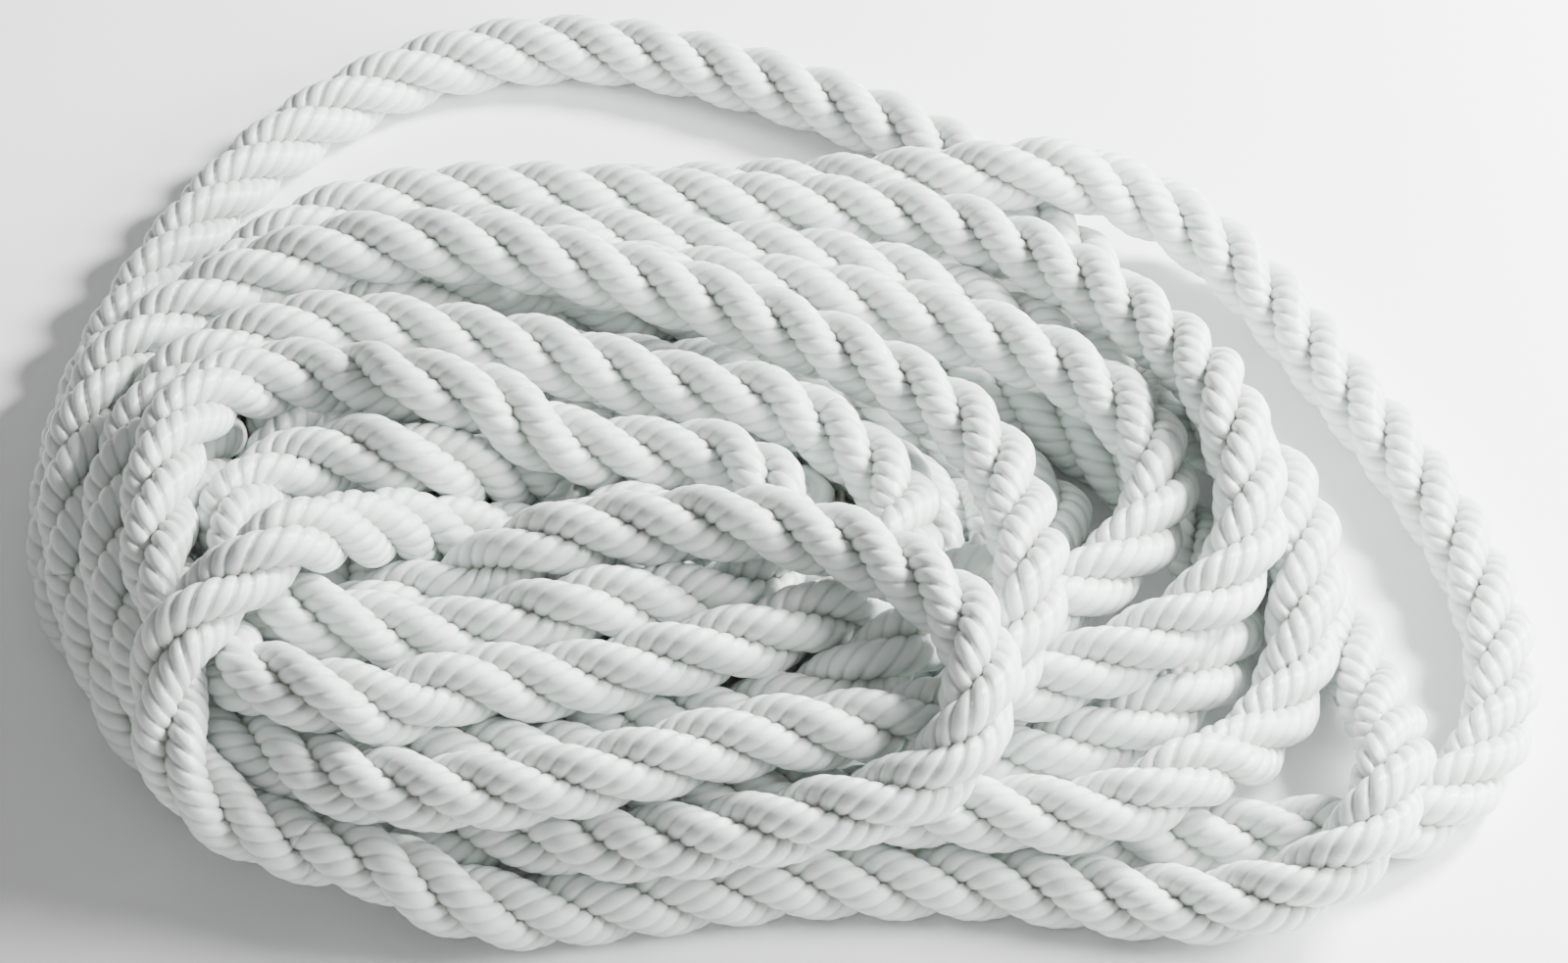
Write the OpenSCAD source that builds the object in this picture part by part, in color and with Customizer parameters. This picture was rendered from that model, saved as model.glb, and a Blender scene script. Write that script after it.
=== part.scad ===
// Coiled dock line: three-strand laid rope, stowed in a loose oval coil.
// Millimetres, +Z up. The coil lies on z = 0 and the origin is under the middle of its outline.

/* [Rope] */
// Diameter of the rope
rope_d = 16; // [12:1:20]

/* [Outer coil] */
// Length of the lower, outer coil
outer_length = 268; // [240:1:300]
// Width of the lower, outer coil
outer_width = 198; // [180:1:210]
// Rope layers in the lower coils
lower_layers = 2; // [1:0.1:3]
// Length of the opening inside the outer coil
opening_length = 180; // [150:1:200]
// Width of the opening inside the outer coil
opening_width = 104; // [90:1:120]

/* [Core coil] */
// Length of the core coil, which lies inside the outer coil
core_length = 164; // [140:1:176]
// Gap between the core coil and the outer coil, at the left, front and back
core_gap = 0.4; // [0.3:0.1:2]
// Length of the well in the middle, where both ends of the rope are tucked
well_length = 142; // [120:1:144]
// Width of the well
well_width = 58; // [50:1:62]

/* [Top coil] */
// Length of the coil that lies on the lower ones
top_length = 208; // [180:1:220]
// Width of the top coil
top_width = 156; // [140:1:170]
// Rope layers in the top coil
top_layers = 1.1; // [1:0.1:2]
// Length of the hollow in the top coil
hollow_length = 126; // [110:1:140]
// Width of the hollow in the top coil
hollow_width = 50; // [40:1:60]
// Turn of the top coil on the lower ones, in degrees
top_turned = -8; // [-15:1:0]

/* [Rope ends] */
// Diameter of the whipping twine
twine_d = 1.8; // [1:0.1:2.5]
// Turns of twine in one whipping
twine_turns = 11; // [6:1:16]
// Running room between the rope and its whipping
whipping_gap = 0.1; // [0.05:0.05:0.3]
// Bare rope between the whipping and the fused tip
bare_end = 3; // [2:1:8]
// Length of the fused tip
tip_length = 5; // [3:1:8]

/* [Hidden] */
$fn = 64;
rope_r = rope_d / 2;
lower_height = lower_layers * rope_d;
top_height = top_layers * rope_d;
outer_centre = [-22, -30];
opening_centre = [-20, -36];
well_centre = [-32, -41];
hollow_centre = [-46, -50];
top_centre = [-47, -45];
core_width = opening_width - 2 * core_gap;
core_centre = [opening_centre.x - opening_length / 2 + core_gap + core_length / 2, opening_centre.y];
whipping_length = twine_d * twine_turns;
whip_lift = (whipping_gap + twine_d) / rope_d;
tube_sides = 12;
rope_white = [0.93, 0.94, 0.94];
fused_white = [0.86, 0.84, 0.76];
twine_white = [0.84, 0.86, 0.87];

// Routes of the stretches that lie free of the coils. The third value is how many
// rope diameters are under the rope there, so 0 lies on the floor.
back_route = [[-148, 4, 0], [-134, 54, 0], [-104, 100, 0], [-42, 124, 0], [14, 106, 0],
              [54, 78, 0], [72, 50, 0]];
right_route = [[6, 72, 0.3], [52, 67, 1.12], [86, 69, 0.5], [113, 38, 0], [139, -14, 0],
               [148, -66, 0], [134, -98, 0], [80, -103, 0]];
near_route = [[112, -37, 0], [119, -56, 0], [123, -73, 0.3], [125, -86, 0.8], [121, -105, 1.15],
              [110, -119, 0.6], [88, -124, 0], [62, -119, 0]];
centre_route = [[-104, -67, 0.8], [-74, -60, 1], [-46, -52, 2.2], [-8, -53, 2.6], [22, -65, 2.7],
                [43, -90, 2.5], [28, -114, 1.8]];
top_route = [[-100, -113, 0.5], [-122, -98, 2.1], [-101, -76, 3], [-76, -50, 2.6], [-54, -34, 0.9],
             [-28, -44, whip_lift], [-4, -44, whip_lift], [20, -44, whip_lift]];
start_route = [[18, -24, whip_lift], [-6, -24, whip_lift], [-30, -24, whip_lift], [-66, -19, 0],
               [-100, -34, 0]];

// A route point as the middle of the rope
function middle(p) = [p.x, p.y, (p.z + 0.5) * rope_d];

// Way along the route at point i, from its neighbours
function way(p, i) = let (v = p[min(i + 1, len(p) - 1)] - p[max(i - 1, 0)]) v / norm(v);

// Halfway between points i and i + 1, on the curve that their ways give
function halfway(p, i) =
    let (q = (p[i] + p[i + 1]) / 2 + norm(p[i + 1] - p[i]) / 8 * (way(p, i) - way(p, i + 1)))
        [q.x, q.y, max(q.z, rope_r)];

// The route's own points, with one more between each two
function smooth_line(p) = [for (i = [0 : 2 * len(p) - 2])
    i % 2 == 0 ? p[i / 2] : halfway(p, (i - 1) / 2)];

// One ring round the line: sideways is level, and the other direction stands on it
function ring(p, i) =
    let (w = way(p, i), level = cross(w, [0, 0, 1]), side = level / norm(level), up = cross(side, w))
        [for (k = [0 : tube_sides - 1]) let (a = 360 * k / tube_sides)
            p[i] + rope_r * (cos(a) * side + sin(a) * up)];

// A plain round rope swept along a route
module rope_run(route) {
    line = smooth_line([for (p = route) middle(p)]);
    last = len(line) - 1;
    color(rope_white)
        polyhedron(
            points = [for (i = [0 : last]) each ring(line, i)],
            faces = [
                [for (k = [0 : tube_sides - 1]) k],
                for (i = [0 : last - 1], k = [0 : tube_sides - 1])
                    let (a = i * tube_sides, b = a + tube_sides, n = (k + 1) % tube_sides)
                        each [[a + k, b + k, b + n], [a + k, b + n, a + n]],
                [for (k = [tube_sides - 1 : -1 : 0]) last * tube_sides + k]
            ]);
}

// An oval with round ends, lying along X
module oval(length, width) {
    square([length - width, width], center = true);
    for (s = [-1, 1])
        translate([s * (length - width) / 2, 0])
            circle(d = width);
}

// Half of the section of a closed coil: flat below and above, with a round outer edge
module slab_section(half_width, height) {
    round_r = height / 2;
    square([half_width - round_r, height]);
    translate([half_width - round_r, round_r])
        circle(r = round_r);
}

// An oval slab with a round rim, as the outer turns of a coil leave it
module coil_slab(length, width, height) {
    reach = (length - width) / 2;
    for (s = [-1, 1])
        translate([s * reach, 0, 0])
            rotate_extrude()
                intersection() {
                    slab_section(width / 2, height);
                    square([width, height]);
                }
    rotate([90, 0, 90])
        translate([0, 0, -reach])
            linear_extrude(height = 2 * reach)
                for (s = [0, 1])
                    mirror([s, 0])
                        slab_section(width / 2, height);
}

// An oval coil with an open middle
module oval_coil(centre, length, width, height, open_centre, open_length, open_width) {
    difference() {
        translate(centre)
            coil_slab(length, width, height);
        translate([open_centre.x, open_centre.y, -1])
            linear_extrude(height = height + 2)
                oval(open_length, open_width);
    }
}

module outer_coil() {
    color(rope_white)
        oval_coil(outer_centre, outer_length, outer_width, lower_height,
            opening_centre, opening_length, opening_width);
}

module core_coil() {
    color(rope_white)
        oval_coil(core_centre, core_length, core_width, lower_height,
            well_centre, well_length, well_width);
}

module top_coil() {
    color(rope_white)
        translate([top_centre.x, top_centre.y, lower_height])
            rotate([0, 0, top_turned])
                oval_coil([0, 0], top_length, top_width, top_height,
                    hollow_centre - top_centre, hollow_length, hollow_width);
}

module back_loop() { rope_run(back_route); }
module right_loop() { rope_run(right_route); }
module near_loop() { rope_run(near_route); }
module centre_turn() { rope_run(centre_route); }
module top_turn() { rope_run(top_route); }
module start_tail() { rope_run(start_route); }

// Stands a piece on the face at one end of a rope, with +Z pointing out of the rope
module at_end(tip, before) {
    translate(middle(tip))
        rotate([0, 90, atan2(tip.y - before.y, tip.x - before.x)])
            children();
}

// Twine wound side by side round the end of the rope
module whipping() {
    inner_r = rope_r + whipping_gap;
    color(twine_white)
        translate([0, 0, -bare_end - whipping_length])
            rotate_extrude() {
                for (k = [0 : twine_turns - 1])
                    translate([inner_r + twine_d / 2, (k + 0.5) * twine_d])
                        circle(d = twine_d, $fn = 24);
                translate([inner_r, twine_d / 2])
                    square([twine_d / 2, whipping_length - twine_d]);
            }
}

// The three strands, melted together where the rope was cut
module fused_tip() {
    strand_r = rope_r * 0.46;
    color(fused_white)
        intersection() {
            cylinder(r = rope_r, h = tip_length);
            union() {
                cylinder(r = rope_r * 0.72, h = tip_length * 0.7);
                for (k = [0 : 2])
                    rotate([0, 0, 120 * k])
                        translate([rope_r - strand_r, 0, 0]) {
                            cylinder(r = strand_r, h = tip_length - strand_r);
                            translate([0, 0, tip_length - strand_r])
                                sphere(r = strand_r);
                        }
            }
        }
}

module start_whipping() { at_end(start_route[0], start_route[1]) whipping(); }
module start_tip() { at_end(start_route[0], start_route[1]) fused_tip(); }
module end_whipping() { at_end(top_route[7], top_route[6]) whipping(); }
module end_tip() { at_end(top_route[7], top_route[6]) fused_tip(); }

outer_coil();
core_coil();
top_coil();
back_loop();
right_loop();
near_loop();
centre_turn();
top_turn();
start_tail();
start_whipping();
end_whipping();
start_tip();
end_tip();
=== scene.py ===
import math

import bpy
import numpy as np
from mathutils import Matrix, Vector


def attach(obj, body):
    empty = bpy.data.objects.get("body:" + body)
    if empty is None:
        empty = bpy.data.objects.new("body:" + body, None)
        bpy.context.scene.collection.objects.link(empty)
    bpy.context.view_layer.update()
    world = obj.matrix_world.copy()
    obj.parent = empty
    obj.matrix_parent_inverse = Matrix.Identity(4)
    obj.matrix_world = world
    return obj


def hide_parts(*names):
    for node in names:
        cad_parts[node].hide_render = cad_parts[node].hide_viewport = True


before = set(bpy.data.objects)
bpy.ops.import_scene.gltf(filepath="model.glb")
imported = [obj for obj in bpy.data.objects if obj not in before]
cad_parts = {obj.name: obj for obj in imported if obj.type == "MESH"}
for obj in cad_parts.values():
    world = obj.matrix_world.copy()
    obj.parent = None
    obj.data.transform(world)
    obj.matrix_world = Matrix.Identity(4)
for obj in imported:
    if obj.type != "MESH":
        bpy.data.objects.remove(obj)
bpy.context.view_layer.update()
mm = 0.001


def linearColour(hexText):
    # sRGB hex to the linear numbers that shaders take
    channels = [int(hexText[i:i + 2], 16) / 255 for i in (1, 3, 5)]
    return tuple(c / 12.92 if c <= 0.04045 else ((c + 0.055) / 1.055) ** 2.4 for c in channels) + (1.0,)


def addNode(material, kind, settings=None, inputs=None):
    # one node: settings are its own values, inputs are numbers, colours or (node, output name) links
    tree = material.node_tree
    node = tree.nodes.new(kind)
    for name, value in (settings or {}).items():
        setattr(node, name, value)
    for name, value in (inputs or {}).items():
        if isinstance(value, tuple) and isinstance(value[0], bpy.types.Node):
            tree.links.new(value[0].outputs[value[1]], node.inputs[name])
        else:
            node.inputs[name].default_value = value
    return node


# from the front and above, with a long lens
cameraSetup = {
    "target": (0.0024, -0.0224, 0.024),
    "distance": 1.12,
    "elevation": 48.0,
    "lens": 125.0,
}


def makeCamera(setup):
    lift = math.radians(setup["elevation"])
    target = Vector(setup["target"])
    away = Vector((0.0, -math.cos(lift), math.sin(lift))) * setup["distance"]
    data = bpy.data.cameras.new("camera")
    data.lens = setup["lens"]
    data.sensor_width = 36.0
    data.clip_start = 0.05
    data.clip_end = 20.0
    camera = bpy.data.objects.new("camera", data)
    camera.location = target + away
    camera.rotation_euler = (-away).to_track_quat("-Z", "Y").to_euler()
    bpy.context.scene.collection.objects.link(camera)
    bpy.context.scene.camera = camera


makeCamera(cameraSetup)
print("camera made")

# The line's way, from its first end to its last: x and y are millimetres, and the third value is
# how many rope thicknesses lie beneath.
startRoute = [(15, -24, 0.12), (0, -24, 0.12), (-30, -21, 0), (-66, -19, 0.2),
              (-84, -23, 0.8), (-101, -34, 1.0), (-111, -52, 0.9)]
centreRoute = [(-104, -67, 0.8), (-88, -63, 0.9), (-72, -59, 1.1), (-58, -56, 1.7), (-46, -55, 2.3),
               (-30, -55, 2.5), (-6, -56, 2.6), (20, -64, 2.7), (40, -82, 2.6), (44, -100, 2.2),
               (29, -114, 1.8), (0, -117, 1.4), (-25, -119, 1.0), (-40, -116, 0.9), (-52, -112, 0.7),
               (-64, -107, 0.4), (-78, -104, 0), (-94, -98, 0), (-112, -86, 0), (-129, -68, 0.5)]
# the slack turns on top of the coil, the widest first
topTurns = [(-139, -50, 1.5), (-142, -22, 1.7), (-132, 7, 1.9), (-110, 24, 2.0), (-80, 30, 2.1),
            (-48, 26, 2.1), (-13, 16, 2.0), (22, -3, 2.0), (47, -22, 1.9), (51, -54, 1.9),
            (46, -88, 1.9), (30, -101, 2.0), (0, -99, 2.0), (-30, -111, 1.9), (-60, -116, 1.8),
            (-92, -109, 1.8), (-118, -88, 1.8), (-132, -60, 2.0), (-132, -28, 2.1), (-120, -4, 2.1),
            (-98, 9, 2.1), (-72, 6, 2.0), (-44, 0, 1.9), (-15, -9, 1.7), (14, -18, 1.7),
            (28, -34, 1.6), (28, -60, 1.4), (10, -73, 1.6), (-20, -80, 1.8), (-54, -90, 1.9),
            (-88, -103, 1.9), (-112, -96, 2.1), (-122, -66, 2.4), (-125, -40, 2.5), (-115, -16, 2.4),
            (-98, -9, 2.3), (-76, -22, 2.1), (-53, -31, 2.0), (-29, -28, 1.9), (0, -38, 1.9),
            (8, -54, 1.9), (-10, -64, 1.8), (-32, -68, 1.75), (-55, -73, 1.8), (-80, -80, 2.0),
            (-101, -75, 2.2), (-110, -54, 2.2), (-104, -37, 2.2), (-84, -31, 1.9), (-62, -36, 1.3)]
# the outer coil's turns show at the back and down the right side, and each has its own line there
innerTurn = [(-96, 22, 1.5), (-66, 30, 1.7), (-38, 30, 1.7), (2, 27, 1.5), (28, 24, 1.3),
             (45, 18, 1.3), (67, 6, 1.3), (79, -8, 1.3), (85, -21, 1.3), (84, -34, 1.3),
             (77, -46, 1.3), (64, -57, 1.2), (50, -65, 1.0)]
lowTurn = [(-100, 38, 1.1), (-71, 51, 1.1), (-39, 51, 1.1), (-5, 44, 1.0), (18, 42, 0.9),
           (48, 31, 0.5), (70, 22, 0.3), (88, 4, 0.3), (103, -12, 0.4), (111, -32, 0.8),
           (114, -46, 0.8), (111, -59, 0.6), (108, -70, 0.3), (97, -87, 0.3), (85, -103, 0.5),
           (66, -112, 0.9), (36, -107, 0.9)]
wideTurn = [(-114, 40, 0.9), (-98, 60, 0.9), (-75, 63, 1.0), (-41, 60, 1.0), (-8, 56, 1.0),
            (26, 60, 1.0), (53, 45, 1.2), (78, 21, 1.4), (91, 2, 1.5), (99, -18, 1.6),
            (101, -32, 1.6), (101, -45, 1.6), (95, -57, 1.5), (82, -67, 1.3), (66, -72, 1.1),
            (50, -78, 1.0)]
underTurn = [(42, 24, 0), (66, 6, 0), (84, -15, 0), (95, -38, 0.1), (97, -55, 0.4), (90, -67, 0.5),
             (78, -77, 0.5), (62, -86, 0.4), (44, -89, 0.2)]
rightRoute = [(-84, 66, 0), (-50, 75, 0.1), (-19, 75, 0.1), (11, 72, 0.4), (34, 69, 0.9),
              (55, 68, 1.0), (77, 71, 0.6), (95, 64, 0.2), (110, 42, 0), (124, 14, 0),
              (137, -9, 0), (147, -34, 0), (151, -62, 0), (145, -86, 0), (130, -100, 0),
              (102, -103, 0), (80, -103, 0), (50, -98, 0)]
backRoute = [(-148, -10, 0.2), (-145, 20, 0), (-130, 62, 0), (-107, 98, 0), (-75, 121, 0),
             (-40, 126, 0), (-8, 116, 0), (18, 104, 0), (40, 92, 0), (58, 72, 0), (72, 50, 0)]
nearRoute = [(101, -23, 0), (112, -37, 0), (118, -54, 0), (122, -72, 0.2), (124, -87, 0.6),
             (122, -106, 1.05), (111, -118, 0.6), (92, -122, 0.1), (66, -118, 0), (40, -111, 0),
             (14, -110, 0), (-16, -115, 0), (-36, -120, 0), (-50, -122, 0.2), (-63, -121, 0.5),
             (-76, -116, 0.9)]
topRoute = [(-90, -112, 1.0), (-104, -108, 1.1), (-117, -102, 1.5), (-122, -95, 2.1),
            (-117, -88, 2.7), (-101, -76, 3.0), (-90, -65, 3.0), (-80, -56, 2.6), (-70, -48, 1.8),
            (-60, -41, 1.0), (-46, -38, 0.5), (-30, -42, 0.15), (-14, -44, 0.12), (4, -44, 0.12),
            (20, -44, 0.12)]

# An oval turn is four stations: front going left, left going back, back going right, right going
# forward. "free" takes its way from its neighbours.
ways = {"front": (-1, 0), "left": (0, 1), "back": (1, 0), "right": (0, -1)}
line = []      # (side, x, y, layers beneath, how firmly it keeps its place)
sections = []  # (name, first station) of each length of the line


def section(name):
    sections.append((name, len(line)))


def route(points, hold):
    line.extend(("free", *p, hold) for p in points)


def turns(*stations, hold=0.3):
    line.extend((*s, hold) for s in stations)


section("start_tail")
route(startRoute, 3)
section("centre_turn")
route(centreRoute, 3)
section("top_coil_wide")
route(topTurns[:24], 2.5)
section("top_coil_inner")
route(topTurns[24:], 2.5)
section("core_coil")
turns(("free", -44, -28, 1.1), ("free", -24, -20, 1.1), ("free", -4, -20, 1.1), ("free", 10, -31, 1.1),
      ("free", 12, -45, 1.1), ("free", 0, -58, 1.0), ("free", -24, -62, 0.95), ("front", -44, -62, 0.95),
      ("left", -86, -40, 1.1), ("back", -54, -9, 0.95), ("right", 35, -44, 0), ("front", -40, -59, 0),
      ("left", -96, -40, 0), ("back", -55, 8, 0), ("right", 50, -46, 0))
section("outer_coil_inner")
turns(("front", -36, -75, 0.8), ("left", -108, -34, 0.9))
route(innerTurn, 2)
section("outer_coil_low")
turns(("front", -30, -89, 0.9), ("left", -124, -22, 0.9))
route(lowTurn, 2)
section("outer_coil_wide")
turns(("front", -30, -103, 0.9), ("left", -138, -20, 0.9))
route(wideTurn, 2)
section("outer_coil_hidden")
turns(("front", -24, -68, 0), ("left", -109, -24, 0), ("back", -44, 26, 0), ("right", 66, -36, 0))
section("outer_coil_under")
turns(("front", -10, -78, 0), ("left", -123, -20, 0), ("back", -44, 46, 0))
route(underTurn, 2)
turns(("front", -10, -88, 0), ("left", -137, -6, 0))
section("right_loop")
route(rightRoute, 3)
section("back_loop")
turns(("free", 20, -93, 0), ("front", -36, -90, 0))
route(backRoute, 3)
turns(("free", 84, 24, 0), ("free", 96, 2, 0))
section("near_loop")
route(nearRoute, 8)
section("top_turn")
route(topRoute, 3)

rope = {
    "thickness": 16.0,           # mm over the three strands
    "layLength": 2.85,           # one full turn of a strand, in rope thicknesses
    "strandRadius": 0.252,       # in rope thicknesses, as are the rest
    "strandPlace": 0.25,         # strand's centre from the rope's axis
    "yarns": 4,                  # outer yarns of a strand
    "pointsPerYarn": 6,
    "yarnTwist": -10.0,          # radians a rope thickness, against the strands
    "yarnDepth": 0.05,           # groove between two yarns
    "grooveEnd": 0.96,           # 1 would bring a yarn's round edge right down into its groove
    "layWander": (0.25, 9.0),    # radians that the lay strays, and over how many thicknesses
    "yarnSwell": (0.10, 1.1),    # how a yarn's fullness varies, and over how many thicknesses
    "strandSwell": (0.02, 2.3),  # the same for a whole strand
    "ringStep": 0.05,            # between two rings of the mesh
    "settleStep": 0.45,          # between two points of the line while it settles
    "touch": 0.95,               # laid rope beds this far into its neighbour
}
curving = {
    "ovalReach": 0.56,    # handle of a quarter oval, as a part of its side
    "freeReach": 0.34,    # handle between free stations, as a part of the span
    "bentReach": 0.16,    # what a right-angled bend adds to it
    "pointsPerThickness": 4.8,
}


def wayCurve(stations):
    # Cubic pieces between stations: each keeps the way of travel at its two ends, with handles that
    # make a quarter oval between two sides of a turn. The height eases from one to the next.
    count = len(stations)
    thick = rope["thickness"]
    points = np.array([(s[1] / thick, s[2] / thick, s[3] + 0.5) for s in stations])
    holds = np.array([s[4] for s in stations])
    travel = np.zeros((count, 2))
    for i, station in enumerate(stations):
        if station[0] in ways:
            travel[i] = ways[station[0]]
            continue
        before, after = points[max(i - 1, 0), :2], points[min(i + 1, count - 1), :2]
        if i > 0 and stations[i - 1][0] in ways and stations[min(i + 1, count - 1)][0] == "free":
            before = points[i, :2]
        if i < count - 1 and stations[i + 1][0] in ways and stations[i - 1][0] == "free":
            after = points[i, :2]
        travel[i] = (after - before) / np.linalg.norm(after - before)
    pieces, firm = [], []
    for i in range(count - 1):
        first, last = points[i, :2], points[i + 1, :2]
        across = last - first
        span = np.linalg.norm(across)
        if stations[i][0] in ways and stations[i + 1][0] in ways:
            reach = curving["ovalReach"] * np.abs([across @ travel[i], across @ travel[i + 1]])
        else:
            bend = math.acos(max(-1.0, min(1.0, float(travel[i] @ travel[i + 1]))))
            longer = curving["bentReach"] * (bend / (math.pi / 2)) ** 2
            reach = np.full(2, span * (curving["freeReach"] + longer))
        parts = max(2, int(span * curving["pointsPerThickness"]))
        t = np.linspace(0, 1, parts, endpoint=False)[:, None]
        flat = ((1 - t) ** 3 * first + 3 * (1 - t) ** 2 * t * (first + travel[i] * reach[0])
                + 3 * (1 - t) * t * t * (last - travel[i + 1] * reach[1]) + t ** 3 * last)
        ease = t * t * (3 - 2 * t)
        pieces.append(np.hstack([flat, points[i, 2] + (points[i + 1, 2] - points[i, 2]) * ease]))
        firm.append(holds[i] + (holds[i + 1] - holds[i]) * t[:, 0])
    starts = np.cumsum([0] + [len(p) for p in pieces])
    return np.vstack(pieces + [points[-1:]]), np.concatenate(firm + [holds[-1:]]), starts


def lengthsAlong(points):
    return np.r_[0, np.cumsum(np.linalg.norm(np.diff(points, axis=0), axis=1))]


settling = {
    "steps": 300,
    "lookAgain": 8,      # steps between two searches for parts that lie close
    "lookAhead": 0.35,   # rope thicknesses, as are the other lengths here
    "sink": 0.006,       # how far a point drops in one step
    "draw": 0.03,        # pull to its place, for each unit of hold
    "drawMost": 0.3,
    "smooth": 0.35,
    "sameRun": 1.6,      # parts nearer than this along the line never push each other
    "bendSpan": 1.1,     # a bend is judged over this much on both sides
    "bendRadius": 1.6,   # a tighter bend is opened
    "unbend": 0.25,
    "push": 1.5,
    "stretch": 0.225,    # how fast a link gets its own length back
    "rounds": 5,         # of pushing and stretching in one step
    "boundPoints": 6,    # at each end, held where their whippings are
    "calm": (0.7, 0.3),  # from this part of the steps on, pull and sink by this much
}


def settleLine(home, hold):
    # Lays the line down: each point sinks a little, is drawn to its place, is smoothed with its
    # neighbours, and is pushed off any other part of the line that is nearer than they may bed in.
    touch, steps = rope["touch"], settling["steps"]
    points, count = home.copy(), len(home)
    step = np.linalg.norm(np.diff(points, axis=0), axis=1).mean()
    drawn = np.minimum(settling["draw"] * hold, settling["drawMost"])[:, None] * np.array([1, 1, 0.8])
    apart = int(math.ceil(settling["sameRun"] / step))
    wide = int(round(settling["bendSpan"] / step))
    bound = settling["boundPoints"]
    ends = np.r_[0:bound, count - bound:count]
    give = 1 / (0.4 + hold)
    give[ends] = 1e-4
    for turn in range(steps):
        if turn % settling["lookAgain"] == 0:
            small = points.astype(np.float32)
            squares = (small * small).sum(1)
            distance = squares[:, None] + squares[None, :] - 2 * small @ small.T
            near = distance < (touch + settling["lookAhead"]) ** 2
            first, second = np.nonzero(np.triu(near, apart))
            both = np.r_[first, second]
        ease = 1.0 if turn < steps * settling["calm"][0] else settling["calm"][1]
        points[:, 2] -= settling["sink"] * ease
        points += drawn * ease * (home - points)
        points[1:-1] += settling["smooth"] * (0.5 * (points[2:] + points[:-2]) - points[1:-1])
        a, b, c = points[:-2 * wide], points[wide:-wide], points[2 * wide:]
        ab, bc, ac = b - a, c - b, c - a
        area = np.linalg.norm(np.cross(ab, bc), axis=1)
        radius = (np.linalg.norm(ab, axis=1) * np.linalg.norm(bc, axis=1) * np.linalg.norm(ac, axis=1)
                  / (2 * area + 1e-9))
        tight = np.clip(settling["bendRadius"] / radius - 1, 0, 1)[:, None]
        unbend = tight * settling["unbend"] * (0.5 * (a + c) - b)
        points[wide:-wide] += unbend
        points[:-2 * wide] -= 0.5 * unbend
        points[2 * wide:] -= 0.5 * unbend
        for _ in range(settling["rounds"]):
            gap = points[first] - points[second]
            distance = np.linalg.norm(gap, axis=1) + 1e-9
            push = np.maximum(touch - distance, 0) / distance
            hit = (push > 0).astype(float)
            hits = np.maximum(np.bincount(both, np.r_[hit, hit], count), 1)
            share = give[first] / (give[first] + give[second])
            move = gap * push[:, None]
            moves = np.vstack([move * share[:, None], -move * (1 - share)[:, None]])
            for axis in range(3):
                points[:, axis] += settling["push"] * np.bincount(both, moves[:, axis], count) / hits
            link = np.diff(points, axis=0)
            size = np.linalg.norm(link, axis=1)[:, None]
            link *= settling["stretch"] * (size - step) / size
            points[:-1] += 2 * link
            points[1:] -= 2 * link
            points[:, 2] = np.maximum(points[:, 2], 0.5)
            points[ends] = home[ends]
    return points


def evenPoints(points, spacing, extra=None):
    # points at an even spacing along a line; extra is a value carried with them
    along = lengthsAlong(points)
    places = np.linspace(0, along[-1], int(round(along[-1] / spacing)) + 1)
    even = np.stack([np.interp(places, along, points[:, k]) for k in range(3)], 1)
    return even if extra is None else (even, np.interp(places, along, extra))


def smoothPoints(points, parts):
    # Points on cubic pieces through the given ones: each takes its slope from its two neighbours,
    # and every piece is cut into the same number of parts.
    slope = np.gradient(points, axis=0)
    t = (np.arange(parts) / parts)[None, :, None]
    first, last = points[:-1, None], points[1:, None]
    cubic = ((2 * t ** 3 - 3 * t ** 2 + 1) * first + (t ** 3 - 2 * t ** 2 + t) * slope[:-1, None]
             + (3 * t ** 2 - 2 * t ** 3) * last + (t ** 3 - t ** 2) * slope[1:, None])
    return np.vstack([cubic.reshape(-1, 3), points[-1:]])


rawLine, rawHold, rawStarts = wayCurve(line)
homeLine, homeHold = evenPoints(rawLine, rope["settleStep"], rawHold)
settled = settleLine(homeLine, homeHold)
partsPerStep = max(1, int(round(rope["settleStep"] / rope["ringStep"])))
axisLine = smoothPoints(settled, partsPerStep)
axisAlong = lengthsAlong(axisLine)
print("line laid,", round(axisAlong[-1] * rope["thickness"] * mm, 3), "m, top at",
      round(float(axisLine[:, 2].max() + 0.5) * rope["thickness"], 1), "mm")

rawAlong = lengthsAlong(rawLine)
cuts = [int(round(rawAlong[rawStarts[first]] / rawAlong[-1] * (len(axisLine) - 1))) for _, first in sections]
cuts.append(len(axisLine) - 1)


def slowNoise(along, seed, wave):
    # smooth random values from -1 to 1 with a given wave length, the same on each run
    source = np.random.default_rng(seed).uniform(-1, 1, int(along[-1] / wave) + 4)
    place = along / wave
    low = place.astype(int)
    t = place - low
    t = t * t * (3 - 2 * t)
    return source[low] * (1 - t) + source[low + 1] * t


tangent = np.gradient(axisLine, axis=0)
tangent /= np.linalg.norm(tangent, axis=1)[:, None]
sideways = np.cross(tangent, [0.0, 0.0, 1.0])
sideways /= np.linalg.norm(sideways, axis=1)[:, None]
upward = np.cross(sideways, tangent)


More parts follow.
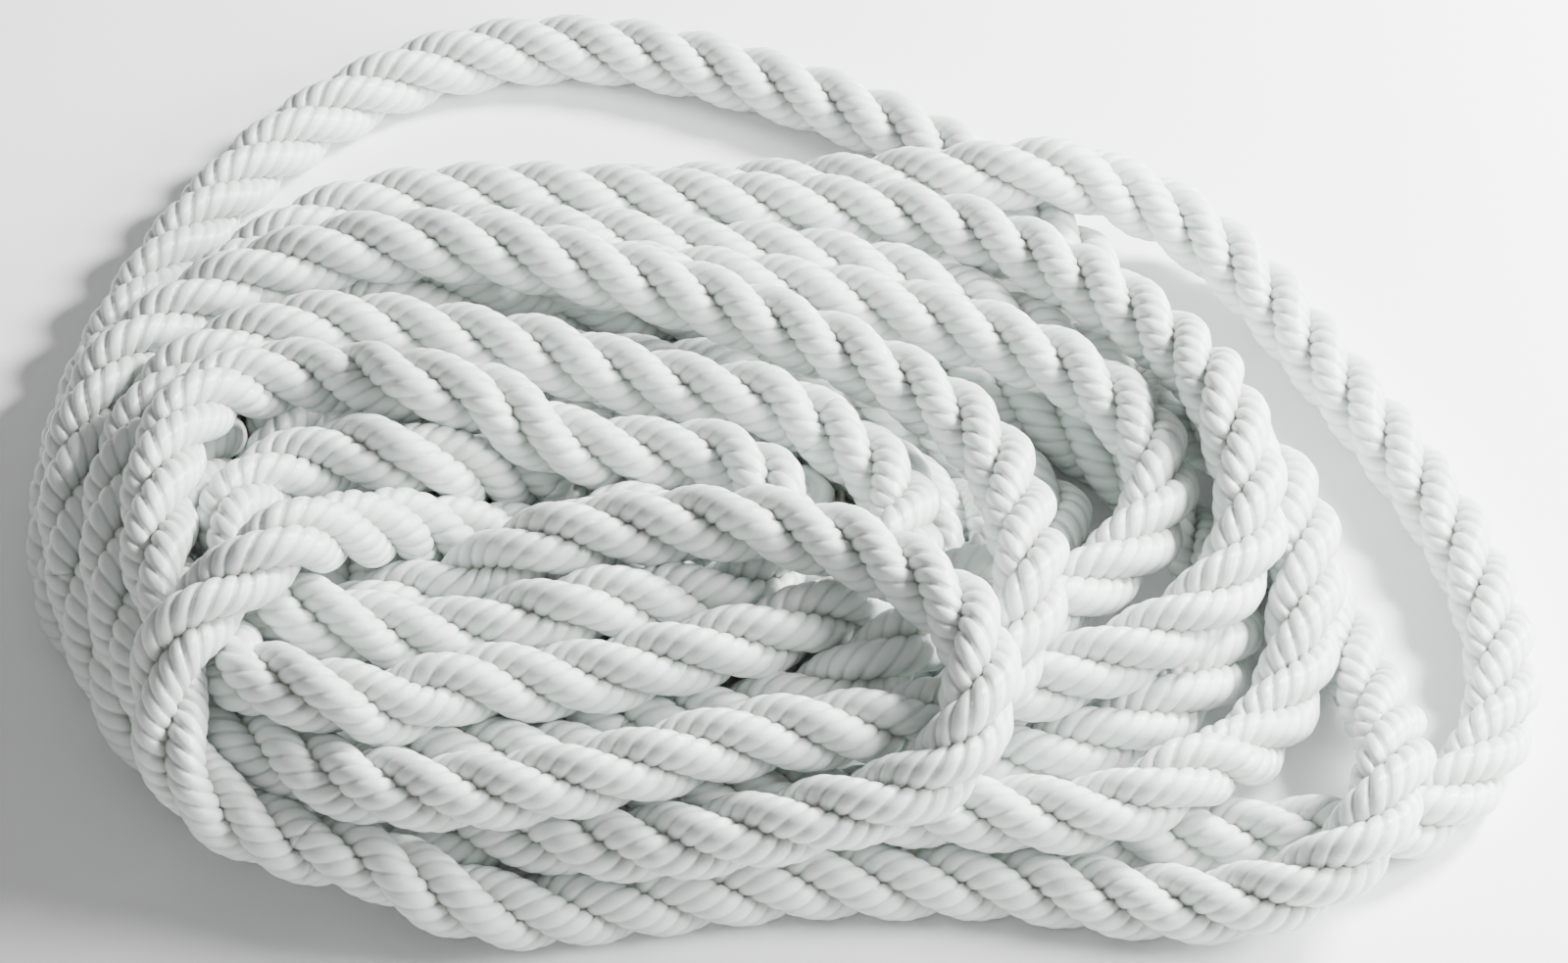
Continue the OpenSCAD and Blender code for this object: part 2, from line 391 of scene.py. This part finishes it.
def strandGrid(number):
    # One strand: its centre turns round the rope's axis once in a lay length, and the surface is a
    # circle about that centre with a rounded rib for each yarn. The mesh's lines turn with the yarns,
    # the other way from the strand.
    yarns, perYarn = rope["yarns"], rope["pointsPerYarn"]
    stray, strayWave = rope["layWander"]
    layWander = slowNoise(axisAlong, 11, strayWave) * stray
    angle = 2 * math.pi * (axisAlong / rope["layLength"] + number / 3) + layWander
    out = upward * np.cos(angle)[:, None] + sideways * np.sin(angle)[:, None]
    centre = axisLine + out * rope["strandPlace"]
    heading = np.gradient(centre, axis=0)
    heading /= np.linalg.norm(heading, axis=1)[:, None]
    out -= heading * (out * heading).sum(1)[:, None]
    out /= np.linalg.norm(out, axis=1)[:, None]
    across = np.cross(heading, out)
    around = np.arange(yarns * perYarn) / (yarns * perYarn)
    turned = 2 * math.pi * around[None, :] + (rope["yarnTwist"] * axisAlong)[:, None]
    phase = (np.arange(yarns * perYarn) % perYarn) / perYarn
    rib = np.sqrt(np.maximum(0.0, 1 - (2 * phase - 1) ** 2 * rope["grooveEnd"]))  # 1 on a yarn's crown
    swell, swellWave = rope["yarnSwell"]
    full = np.repeat([1 + swell * slowNoise(axisAlong, 40 + 10 * number + y, swellWave)
                      for y in range(yarns)], perYarn, axis=0).T
    radius = rope["strandRadius"] - rope["yarnDepth"] * (1 - rib[None, :] * full)
    swell, swellWave = rope["strandSwell"]
    radius = radius * (1 + swell * slowNoise(axisAlong, 5 + number, swellWave))[:, None]
    ray = np.cos(turned)[:, :, None] * out[:, None, :] + np.sin(turned)[:, :, None] * across[:, None, :]
    grid = centre[:, None, :] + radius[:, :, None] * ray
    # how far down a yarn groove each point lies, the mask for the painted groove shade
    hollow = np.broadcast_to(1 - rib, radius.shape)
    # the mask for the painted shade down in the lay between the strands
    inward = 0.5 * (1 - np.cos(turned))  # 0 on the rope's outside and 1 at its core
    return grid * rope["thickness"] * mm, hollow, inward, centre * rope["thickness"] * mm


strands = [strandGrid(k) for k in range(3)]
print("strands shaped")


def addStrandMesh(name, first, last):
    # the three strands from one ring to another, each closed by a fan at its two ends
    wide = rope["yarns"] * rope["pointsPerYarn"]
    rows = last - first + 1
    points, faces, ribs, paintedDeepShade, places = [], [], [], [], []
    base = 0
    column = np.arange(wide)
    beside = (column + 1) % wide
    for grid, hollow, inward, centre in strands:
        block = grid[first:last + 1].reshape(-1, 3)
        points.append(np.vstack([block, centre[first][None], centre[last][None]]))
        row = (np.arange(rows - 1) * wide)[:, None]
        quads = np.stack([row + column, row + beside, row + wide + beside, row + wide + column], -1)
        faces.append(base + quads.reshape(-1, 4))
        startFan = np.stack([beside, column, np.full(wide, rows * wide)], -1)
        endRow = (rows - 1) * wide
        endFan = np.stack([endRow + column, endRow + beside, np.full(wide, rows * wide + 1)], -1)
        faces.append(base + startFan)
        faces.append(base + endFan)
        ribs.append(np.r_[hollow[first:last + 1].ravel(), 0, 0])
        paintedDeepShade.append(np.r_[inward[first:last + 1].ravel(), 1, 1])
        yarnPlace = np.stack([np.repeat(axisAlong[first:last + 1], wide),
                              np.tile(column / rope["pointsPerYarn"], rows)], -1)
        places.append(np.vstack([yarnPlace, np.zeros((2, 2))]))
        base += rows * wide + 2
    corners = np.concatenate([f.ravel() for f in faces]).astype(np.int32)
    sizes = np.concatenate([np.full(len(f), f.shape[1]) for f in faces]).astype(np.int32)
    mesh = bpy.data.meshes.new(name)
    mesh.vertices.add(base)
    mesh.vertices.foreach_set("co", np.vstack(points).astype(np.float32).ravel())
    mesh.loops.add(len(corners))
    mesh.loops.foreach_set("vertex_index", corners)
    mesh.polygons.add(len(sizes))
    mesh.polygons.foreach_set("loop_start", np.r_[0, np.cumsum(sizes)[:-1]].astype(np.int32))
    mesh.update(calc_edges=True)
    mesh.polygons.foreach_set("use_smooth", sizes == 4)
    # these two masks place the painted shade in the material
    for title, values in (("groove", ribs), ("core", paintedDeepShade)):
        layer = mesh.attributes.new(title, "FLOAT", "POINT")
        layer.data.foreach_set("value", np.concatenate(values).astype(np.float32))
    yarnMap = mesh.uv_layers.new(name="yarns")
    yarnMap.data.foreach_set("uv", np.vstack(places)[corners].astype(np.float32).ravel())
    mesh.validate()
    piece = bpy.data.objects.new(name, mesh)
    bpy.context.scene.collection.objects.link(piece)
    return piece


# Bright nylon 6.6 multifilament, index 1.53. Filaments of 0.03 mm lie side by side in soft white
# yarns, so the highlight is satin and spreads across a yarn; light goes a millimetre or two into it.
# Painted shade makes the colour a little green and grey in the grooves between yarns and down in the lay.
nylonLook = {
    "crown": "#EDF2F0",
    "shade": "#DDE5E2",
    # painted shade: the colour in the grooves between yarns
    "hollow": "#C4CDC9",
    # painted shade: the colour on the strands' inner sides, down in the lay
    "paintedDeepShade": "#A6A99B",
    "roughness": 0.27,
    "index": 1.53,
    "gloss": 0.85,
    "stretch": 0.65,  # the highlight runs across the filaments, as on silk
    "sheen": 0.15,
    "under": 0.12,
    "depth": 2.0,           # mm that light goes into it
    "bundle": (4.4, 0.19),  # mm along and across one streak, coarser than a filament so that it shows
    "relief": 0.4,          # mm
    "patch": 45.0,          # mm over one handled, slightly greyer place
}


def makeNylon(look):
    material = bpy.data.materials.new("white_nylon_multifilament")
    material.use_nodes = True
    material.node_tree.nodes.clear()
    groove = addNode(material, "ShaderNodeAttribute", {"attribute_name": "groove"})
    core = addNode(material, "ShaderNodeAttribute", {"attribute_name": "core"})
    place = addNode(material, "ShaderNodeTexCoord")
    yarnMap = addNode(material, "ShaderNodeUVMap", {"uv_map": "yarns"})
    yarnWide = 2 * math.pi * rope["strandRadius"] * rope["thickness"] / rope["yarns"]
    streaks = (rope["thickness"] / look["bundle"][0], yarnWide / look["bundle"][1], 1.0)
    along = addNode(material, "ShaderNodeMapping", inputs={"Vector": (yarnMap, "UV"), "Scale": streaks})
    filament = addNode(material, "ShaderNodeTexNoise", inputs={
        "Vector": (along, "Vector"), "Scale": 1.0, "Detail": 3.0, "Roughness": 0.6})
    patch = addNode(material, "ShaderNodeTexNoise", inputs={
        "Vector": (place, "Object"), "Scale": 1000.0 / look["patch"], "Detail": 2.0})
    tone = addNode(material, "ShaderNodeMix", {"data_type": "RGBA"}, {
        "Factor": (patch, "Fac"), "A": linearColour(look["crown"]), "B": linearColour(look["shade"])})
    # painted shade: the colour darkens towards the groove-shade colour in the grooves between yarns
    grooveRamp = addNode(material, "ShaderNodeMapRange", {"interpolation_type": "SMOOTHSTEP"}, {
        "Value": (groove, "Fac"), "From Min": 0.15, "From Max": 0.85, "To Min": 0.0, "To Max": 0.6})
    ribTone = addNode(material, "ShaderNodeMix", {"data_type": "RGBA"}, {
        "Factor": (grooveRamp, "Result"), "A": (tone, "Result"), "B": linearColour(look["hollow"])})
    # painted shade: darker still on the strands' sides that face the rope's core
    coreRamp = addNode(material, "ShaderNodeMapRange", {"interpolation_type": "SMOOTHSTEP"}, {
        "Value": (core, "Fac"), "From Min": 0.25, "From Max": 0.8, "To Min": 0.0, "To Max": 0.7})
    fullTone = addNode(material, "ShaderNodeMix", {"data_type": "RGBA"}, {
        "Factor": (coreRamp, "Result"), "A": (ribTone, "Result"), "B": linearColour(look["paintedDeepShade"])})
    raised = addNode(material, "ShaderNodeBump", inputs={
        "Height": (filament, "Fac"), "Strength": 0.4, "Distance": look["relief"] * mm})
    filamentWay = addNode(material, "ShaderNodeTangent", {"direction_type": "UV_MAP", "uv_map": "yarns"})
    shader = addNode(material, "ShaderNodeBsdfPrincipled", inputs={
        "Base Color": (fullTone, "Result"), "Roughness": look["roughness"], "IOR": look["index"],
        "Specular IOR Level": look["gloss"], "Anisotropic": look["stretch"], "Anisotropic Rotation": 0.25,
        "Tangent": (filamentWay, "Tangent"), "Sheen Weight": look["sheen"],
        "Sheen Roughness": 0.4, "Subsurface Weight": look["under"], "Subsurface Scale": look["depth"] * mm,
        "Normal": (raised, "Normal")})
    addNode(material, "ShaderNodeOutputMaterial", inputs={"Surface": (shader, "BSDF")})
    return material


nylon = makeNylon(nylonLook)

# Waxed polyester whipping twine, index 1.5: a cream thread of 1.8 mm in tight rings, a little shiny
# from its wax, with its own fine twist across each turn. Its colour is darker in the hollows between the
# twists, which is painted shade, and in random spots of wax.
twineLook = {
    "crown": "#F1EEE4",
    # painted shade: the colour in the hollows between the thread's twists
    "hollow": "#CFC9B8",
    "roughness": 0.42,
    "index": 1.5,
    "twist": 0.9,    # mm from one twist of the thread to the next
    "fleck": 2.381,  # mm over one spot of wax
    "relief": 0.2,   # mm between the thread's twists and their hollows
}


def makeTwine(look):
    material = bpy.data.materials.new("waxed_polyester_whipping_twine")
    material.use_nodes = True
    material.node_tree.nodes.clear()
    place = addNode(material, "ShaderNodeTexCoord")
    plies = addNode(material, "ShaderNodeTexWave", {"wave_type": "BANDS", "bands_direction": "DIAGONAL"}, {
        "Vector": (place, "Object"), "Scale": 1000 / look["twist"] / (2 * math.pi), "Distortion": 0.6,
        "Detail": 2.0})
    wax = addNode(material, "ShaderNodeTexNoise", inputs={
        "Vector": (place, "Object"), "Scale": 1000 / look["fleck"], "Detail": 3.0})
    both = addNode(material, "ShaderNodeMath", {"operation": "MULTIPLY"}, {
        0: (plies, "Fac"), 1: (wax, "Fac")})
    # painted shade in the twist hollows, following the bump's bands, together with random wax spots
    tone = addNode(material, "ShaderNodeMix", {"data_type": "RGBA"}, {
        "Factor": (both, "Value"), "A": linearColour(look["hollow"]), "B": linearColour(look["crown"])})
    raised = addNode(material, "ShaderNodeBump", inputs={
        "Height": (plies, "Fac"), "Strength": 0.5, "Distance": look["relief"] * mm})
    shader = addNode(material, "ShaderNodeBsdfPrincipled", inputs={
        "Base Color": (tone, "Result"), "Roughness": look["roughness"], "IOR": look["index"],
        "Normal": (raised, "Normal")})
    addNode(material, "ShaderNodeOutputMaterial", inputs={"Surface": (shader, "BSDF")})
    return material


# Nylon melted with a hot knife, index 1.53: the filaments have run together into a hard waxy skin,
# a little yellow and glassier than the yarn, pitted by bubbles of about half a millimetre.
meltedLook = {
    "skin": "#EEEADB",
    "scorch": "#D8CDAE",
    "roughness": 0.28,
    "index": 1.53,
    "under": 0.3,
    "depth": 1.0,   # mm that light goes into it
    "bubble": 0.5,  # mm
    "run": 3.846,   # mm over one run of melt
    "relief": 0.3,  # mm a bubble stands up
}


def makeMelted(look):
    material = bpy.data.materials.new("heat_sealed_nylon")
    material.use_nodes = True
    material.node_tree.nodes.clear()
    place = addNode(material, "ShaderNodeTexCoord")
    bubbles = addNode(material, "ShaderNodeTexVoronoi", inputs={
        "Vector": (place, "Object"), "Scale": 1000 / (3 * look["bubble"])})
    runs = addNode(material, "ShaderNodeTexNoise", inputs={
        "Vector": (place, "Object"), "Scale": 1000 / look["run"], "Detail": 3.0})
    tone = addNode(material, "ShaderNodeMix", {"data_type": "RGBA"}, {
        "Factor": (runs, "Fac"), "A": linearColour(look["skin"]), "B": linearColour(look["scorch"])})
    raised = addNode(material, "ShaderNodeBump", inputs={
        "Height": (bubbles, "Distance"), "Strength": 0.4, "Distance": look["relief"] * mm})
    shader = addNode(material, "ShaderNodeBsdfPrincipled", inputs={
        "Base Color": (tone, "Result"), "Roughness": look["roughness"], "IOR": look["index"],
        "Subsurface Weight": look["under"], "Subsurface Scale": look["depth"] * mm,
        "Normal": (raised, "Normal")})
    addNode(material, "ShaderNodeOutputMaterial", inputs={"Surface": (shader, "BSDF")})
    return material


# the four solids on the bound ends keep their own shape
keptNodes = {"start_whipping": makeTwine(twineLook), "start_tip": makeMelted(meltedLook)}
keptNodes["end_whipping"] = keptNodes["start_whipping"]
keptNodes["end_tip"] = keptNodes["start_tip"]
for name, material in keptNodes.items():
    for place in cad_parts[name].material_slots:
        place.material = material
print("bound ends dressed")

# the construction solid that a length of rope takes the place of
standsFor = {
    "start_tail": "start_tail",
    "centre_turn": "centre_turn",
    "top_coil_wide": "top_coil",
    "core_coil": "core_coil",
    "outer_coil_wide": "outer_coil",
    "right_loop": "right_loop",
    "back_loop": "back_loop",
    "near_loop": "near_loop",
    "top_turn": "top_turn",
}
totalLength = 0.0
for number, (name, _) in enumerate(sections):
    first, last = cuts[number], cuts[number + 1]
    piece = addStrandMesh("rope_" + name, first, last)
    piece.data.materials.append(nylon)
    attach(piece, "root")
    if name in standsFor:
        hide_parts(standsFor[name])
    path = axisLine[first:last + 1] * rope["thickness"] * mm
    length = float(lengthsAlong(path)[-1])
    totalLength += length
    print("rope_" + name, round(length, 3), "m,", len(piece.data.polygons), "faces")
print("whole line", round(totalLength, 3), "m")

# a pale floor in a soft bright room, with one opal globe high behind on the right and one beside it
studio = {
    "floor": "#FFFFFF",
    "floorHalf": 3.0,  # m
    "floorRoughness": 0.9,
    "sky": "#FFFFFF",
    "skyPower": 0.36,
    "lights": [  # name, place in m, radius in m, watts
        ("key", (0.54, 0.26, 0.45), 0.1, 98.0),
        ("side", (0.58, -0.14, 0.33), 0.15, 38.0),
    ],
}


def makeStudio(setup):
    mesh = bpy.data.meshes.new("floor")
    half = setup["floorHalf"]
    corners = [(-half, -half, 0), (half, -half, 0), (half, half, 0), (-half, half, 0)]
    mesh.from_pydata(corners, [], [(0, 1, 2, 3)])
    floor = bpy.data.objects.new("floor", mesh)
    bpy.context.scene.collection.objects.link(floor)
    paper = bpy.data.materials.new("matt_backdrop_paper")
    paper.use_nodes = True
    surface = paper.node_tree.nodes["Principled BSDF"]
    surface.inputs["Base Color"].default_value = linearColour(setup["floor"])
    surface.inputs["Roughness"].default_value = setup["floorRoughness"]
    mesh.materials.append(paper)
    world = bpy.data.worlds.new("studio")
    world.use_nodes = True
    background = world.node_tree.nodes["Background"]
    background.inputs["Color"].default_value = linearColour(setup["sky"])
    background.inputs["Strength"].default_value = setup["skyPower"]
    bpy.context.scene.world = world
    for name, place, radius, power in setup["lights"]:
        lamp = bpy.data.lights.new(name, "POINT")
        lamp.shadow_soft_size = radius
        lamp.energy = power
        light = bpy.data.objects.new(name, lamp)
        light.location = place
        light.visible_camera = False
        bpy.context.scene.collection.objects.link(light)


makeStudio(studio)
print("studio lit")
